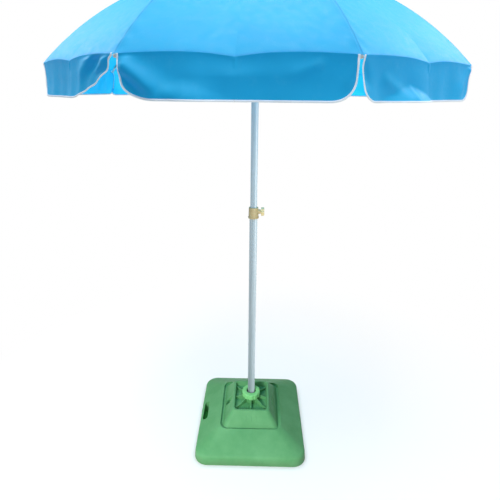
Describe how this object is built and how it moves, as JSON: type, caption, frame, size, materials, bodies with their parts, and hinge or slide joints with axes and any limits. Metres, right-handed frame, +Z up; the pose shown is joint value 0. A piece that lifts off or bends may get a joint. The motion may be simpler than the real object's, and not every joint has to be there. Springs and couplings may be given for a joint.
{
  "type": "patio umbrella with base",
  "caption": "Garden parasol with a folding ribbed cloth canopy on a telescopic tube pole, clamped in a nearly square water-filled tank base.",
  "frame": {"origin": "centre of the tank's underside, on the axis of the pole", "axes": "+Z up along the pole; +X towards the clamp knob; -Y towards the front face of the base"},
  "size_m": [1.5128, 1.5128, 2.2541],
  "materials": {
    "base_green": "satin",
    "nut_green": "satin",
    "seal_rubber": "matte",
    "tube_paint": "gloss",
    "black_plastic": "satin",
    "collar_plastic": "satin",
    "knob_plastic": "satin",
    "insert_brass": "polished",
    "zinc_steel": "satin",
    "rib_steel": "gloss",
    "white_plastic": "satin",
    "canopy_cloth": "matte"
  },
  "bodies": {
    "base": {"base_tank": "base_green", "clamp_collet": "black_plastic", "filler_seal": "seal_rubber"},
    "filler_cap": {"filler_cap": "nut_green"},
    "locking_nut": {"locking_nut": "nut_green"},
    "lower_pole": {"lower_tube": "tube_paint", "foot_plug": "black_plastic", "coupling_collar": "collar_plastic", "clamp_insert": "insert_brass"},
    "clamp_knob": {"clamp_knob": "knob_plastic", "clamp_screw": "zinc_steel"},
    "upper_pole": {"upper_tube": "tube_paint", "guide_bush": "black_plastic", "runner_catch": "zinc_steel", "hub": "white_plastic", "hub_ring": "zinc_steel", "canopy": "canopy_cloth", "finial": "white_plastic"},
    "runner": {"runner": "white_plastic", "runner_ring": "zinc_steel"},
    "rib_1": {"rib_1": "rib_steel", "rib_tip_1": "white_plastic", "rib_bracket_1": "white_plastic"},
    "stretcher_1": {"stretcher_1": "rib_steel"},
    "valance_1": {"valance_1": "canopy_cloth"},
    "rib_2": {"rib_2": "rib_steel", "rib_tip_2": "white_plastic", "rib_bracket_2": "white_plastic"},
    "stretcher_2": {"stretcher_2": "rib_steel"},
    "valance_2": {"valance_2": "canopy_cloth"},
    "rib_3": {"rib_3": "rib_steel", "rib_tip_3": "white_plastic", "rib_bracket_3": "white_plastic"},
    "stretcher_3": {"stretcher_3": "rib_steel"},
    "valance_3": {"valance_3": "canopy_cloth"},
    "rib_4": {"rib_4": "rib_steel", "rib_tip_4": "white_plastic", "rib_bracket_4": "white_plastic"},
    "stretcher_4": {"stretcher_4": "rib_steel"},
    "valance_4": {"valance_4": "canopy_cloth"},
    "rib_5": {"rib_5": "rib_steel", "rib_tip_5": "white_plastic", "rib_bracket_5": "white_plastic"},
    "stretcher_5": {"stretcher_5": "rib_steel"},
    "valance_5": {"valance_5": "canopy_cloth"},
    "rib_6": {"rib_6": "rib_steel", "rib_tip_6": "white_plastic", "rib_bracket_6": "white_plastic"},
    "stretcher_6": {"stretcher_6": "rib_steel"},
    "valance_6": {"valance_6": "canopy_cloth"},
    "rib_7": {"rib_7": "rib_steel", "rib_tip_7": "white_plastic", "rib_bracket_7": "white_plastic"},
    "stretcher_7": {"stretcher_7": "rib_steel"},
    "valance_7": {"valance_7": "canopy_cloth"},
    "rib_8": {"rib_8": "rib_steel", "rib_tip_8": "white_plastic", "rib_bracket_8": "white_plastic"},
    "stretcher_8": {"stretcher_8": "rib_steel"},
    "valance_8": {"valance_8": "canopy_cloth"}
  },
  "joints": [
    {"name": "pole_lift", "type": "slide", "parent": "base", "child": "lower_pole", "axis": [0, 0, 1], "range_m": [0, 0.196]},
    {"name": "locking_nut_turn", "type": "hinge", "parent": "base", "child": "locking_nut", "pos_m": [0, 0, 0.209], "axis": [0, 0, 1], "range_deg": [0, 540]},
    {"name": "filler_cap_turn", "type": "hinge", "parent": "base", "child": "filler_cap", "pos_m": [-0.127, -0.006, 0.12], "axis": [0, 0, 1], "range_deg": [0, 540]},
    {"name": "clamp_knob_turn", "type": "hinge", "parent": "lower_pole", "child": "clamp_knob", "pos_m": [0.03, 0, 1.275], "axis": [1, 0, 0], "range_deg": [0, 1080]},
    {"name": "pole_telescope", "type": "slide", "parent": "lower_pole", "child": "upper_pole", "axis": [0, 0, 1], "range_m": [-0.5, 0.12]},
    {"name": "runner_slide", "type": "slide", "parent": "upper_pole", "child": "runner", "axis": [0, 0, -1], "range_m": [0, 0.4666], "deforming": ["canopy", "valance_1", "valance_2", "valance_3", "valance_4", "valance_5", "valance_6", "valance_7", "valance_8", "runner_catch"]},
    {"name": "rib_1_hinge", "type": "hinge", "parent": "upper_pole", "child": "rib_1", "pos_m": [0.02457, 0.00851, 2.211], "axis": [-0.3272, 0.9449, 0], "range_deg": [0, 63.3]},
    {"name": "stretcher_1_hinge", "type": "hinge", "parent": "runner", "child": "stretcher_1", "pos_m": [0.02457, 0.00851, 1.911], "axis": [0.3272, -0.9449, 0], "range_deg": [0, 44.2]},
    {"name": "valance_1_hinge", "type": "hinge", "parent": "rib_1", "child": "valance_1", "pos_m": [0.75596, 0.26177, 1.88722], "axis": [0.3272, -0.9449, 0], "range_deg": [0, 63.3]},
    {"name": "rib_2_hinge", "type": "hinge", "parent": "upper_pole", "child": "rib_2", "pos_m": [0.01136, 0.02339, 2.211], "axis": [-0.8996, 0.4368, 0], "range_deg": [0, 63.3]},
    {"name": "stretcher_2_hinge", "type": "hinge", "parent": "runner", "child": "stretcher_2", "pos_m": [0.01136, 0.02339, 1.911], "axis": [0.8996, -0.4368, 0], "range_deg": [0, 44.2]},
    {"name": "valance_2_hinge", "type": "hinge", "parent": "rib_2", "child": "valance_2", "pos_m": [0.34944, 0.71965, 1.88722], "axis": [0.8996, -0.4368, 0], "range_deg": [0, 63.3]},
    {"name": "rib_3_hinge", "type": "hinge", "parent": "upper_pole", "child": "rib_3", "pos_m": [-0.00851, 0.02457, 2.211], "axis": [-0.9449, -0.3272, 0], "range_deg": [0, 63.3]},
    {"name": "stretcher_3_hinge", "type": "hinge", "parent": "runner", "child": "stretcher_3", "pos_m": [-0.00851, 0.02457, 1.911], "axis": [0.9449, 0.3272, 0], "range_deg": [0, 44.2]},
    {"name": "valance_3_hinge", "type": "hinge", "parent": "rib_3", "child": "valance_3", "pos_m": [-0.26177, 0.75596, 1.88722], "axis": [0.9449, 0.3272, 0], "range_deg": [0, 63.3]},
    {"name": "rib_4_hinge", "type": "hinge", "parent": "upper_pole", "child": "rib_4", "pos_m": [-0.02339, 0.01136, 2.211], "axis": [-0.4368, -0.8996, 0], "range_deg": [0, 63.3]},
    {"name": "stretcher_4_hinge", "type": "hinge", "parent": "runner", "child": "stretcher_4", "pos_m": [-0.02339, 0.01136, 1.911], "axis": [0.4368, 0.8996, 0], "range_deg": [0, 44.2]},
    {"name": "valance_4_hinge", "type": "hinge", "parent": "rib_4", "child": "valance_4", "pos_m": [-0.71965, 0.34944, 1.88722], "axis": [0.4368, 0.8996, 0], "range_deg": [0, 63.3]},
    {"name": "rib_5_hinge", "type": "hinge", "parent": "upper_pole", "child": "rib_5", "pos_m": [-0.02457, -0.00851, 2.211], "axis": [0.3272, -0.9449, 0], "range_deg": [0, 63.3]},
    {"name": "stretcher_5_hinge", "type": "hinge", "parent": "runner", "child": "stretcher_5", "pos_m": [-0.02457, -0.00851, 1.911], "axis": [-0.3272, 0.9449, 0], "range_deg": [0, 44.2]},
    {"name": "valance_5_hinge", "type": "hinge", "parent": "rib_5", "child": "valance_5", "pos_m": [-0.75596, -0.26177, 1.88722], "axis": [-0.3272, 0.9449, 0], "range_deg": [0, 63.3]},
    {"name": "rib_6_hinge", "type": "hinge", "parent": "upper_pole", "child": "rib_6", "pos_m": [-0.01136, -0.02339, 2.211], "axis": [0.8996, -0.4368, 0], "range_deg": [0, 63.3]},
    {"name": "stretcher_6_hinge", "type": "hinge", "parent": "runner", "child": "stretcher_6", "pos_m": [-0.01136, -0.02339, 1.911], "axis": [-0.8996, 0.4368, 0], "range_deg": [0, 44.2]},
    {"name": "valance_6_hinge", "type": "hinge", "parent": "rib_6", "child": "valance_6", "pos_m": [-0.34944, -0.71965, 1.88722], "axis": [-0.8996, 0.4368, 0], "range_deg": [0, 63.3]},
    {"name": "rib_7_hinge", "type": "hinge", "parent": "upper_pole", "child": "rib_7", "pos_m": [0.00851, -0.02457, 2.211], "axis": [0.9449, 0.3272, 0], "range_deg": [0, 63.3]},
    {"name": "stretcher_7_hinge", "type": "hinge", "parent": "runner", "child": "stretcher_7", "pos_m": [0.00851, -0.02457, 1.911], "axis": [-0.9449, -0.3272, 0], "range_deg": [0, 44.2]},
    {"name": "valance_7_hinge", "type": "hinge", "parent": "rib_7", "child": "valance_7", "pos_m": [0.26177, -0.75596, 1.88722], "axis": [-0.9449, -0.3272, 0], "range_deg": [0, 63.3]},
    {"name": "rib_8_hinge", "type": "hinge", "parent": "upper_pole", "child": "rib_8", "pos_m": [0.02339, -0.01136, 2.211], "axis": [0.4368, 0.8996, 0], "range_deg": [0, 63.3]},
    {"name": "stretcher_8_hinge", "type": "hinge", "parent": "runner", "child": "stretcher_8", "pos_m": [0.02339, -0.01136, 1.911], "axis": [-0.4368, -0.8996, 0], "range_deg": [0, 44.2]},
    {"name": "valance_8_hinge", "type": "hinge", "parent": "rib_8", "child": "valance_8", "pos_m": [0.71965, -0.34944, 1.88722], "axis": [-0.4368, -0.8996, 0], "range_deg": [0, 63.3]}
  ],
  "couplings": [
    {"joint": "rib_1_hinge", "follows": "runner_slide", "rad_per_m": 2.3637},
    {"joint": "stretcher_1_hinge", "follows": "runner_slide", "rad_per_m": 1.6487},
    {"joint": "valance_1_hinge", "follows": "runner_slide", "rad_per_m": 2.3637},
    {"joint": "rib_2_hinge", "follows": "runner_slide", "rad_per_m": 2.3637},
    {"joint": "stretcher_2_hinge", "follows": "runner_slide", "rad_per_m": 1.6487},
    {"joint": "valance_2_hinge", "follows": "runner_slide", "rad_per_m": 2.3637},
    {"joint": "rib_3_hinge", "follows": "runner_slide", "rad_per_m": 2.3637},
    {"joint": "stretcher_3_hinge", "follows": "runner_slide", "rad_per_m": 1.6487},
    {"joint": "valance_3_hinge", "follows": "runner_slide", "rad_per_m": 2.3637},
    {"joint": "rib_4_hinge", "follows": "runner_slide", "rad_per_m": 2.3637},
    {"joint": "stretcher_4_hinge", "follows": "runner_slide", "rad_per_m": 1.6487},
    {"joint": "valance_4_hinge", "follows": "runner_slide", "rad_per_m": 2.3637},
    {"joint": "rib_5_hinge", "follows": "runner_slide", "rad_per_m": 2.3637},
    {"joint": "stretcher_5_hinge", "follows": "runner_slide", "rad_per_m": 1.6487},
    {"joint": "valance_5_hinge", "follows": "runner_slide", "rad_per_m": 2.3637},
    {"joint": "rib_6_hinge", "follows": "runner_slide", "rad_per_m": 2.3637},
    {"joint": "stretcher_6_hinge", "follows": "runner_slide", "rad_per_m": 1.6487},
    {"joint": "valance_6_hinge", "follows": "runner_slide", "rad_per_m": 2.3637},
    {"joint": "rib_7_hinge", "follows": "runner_slide", "rad_per_m": 2.3637},
    {"joint": "stretcher_7_hinge", "follows": "runner_slide", "rad_per_m": 1.6487},
    {"joint": "valance_7_hinge", "follows": "runner_slide", "rad_per_m": 2.3637},
    {"joint": "rib_8_hinge", "follows": "runner_slide", "rad_per_m": 2.3637},
    {"joint": "stretcher_8_hinge", "follows": "runner_slide", "rad_per_m": 1.6487},
    {"joint": "valance_8_hinge", "follows": "runner_slide", "rad_per_m": 2.3637}
  ]
}
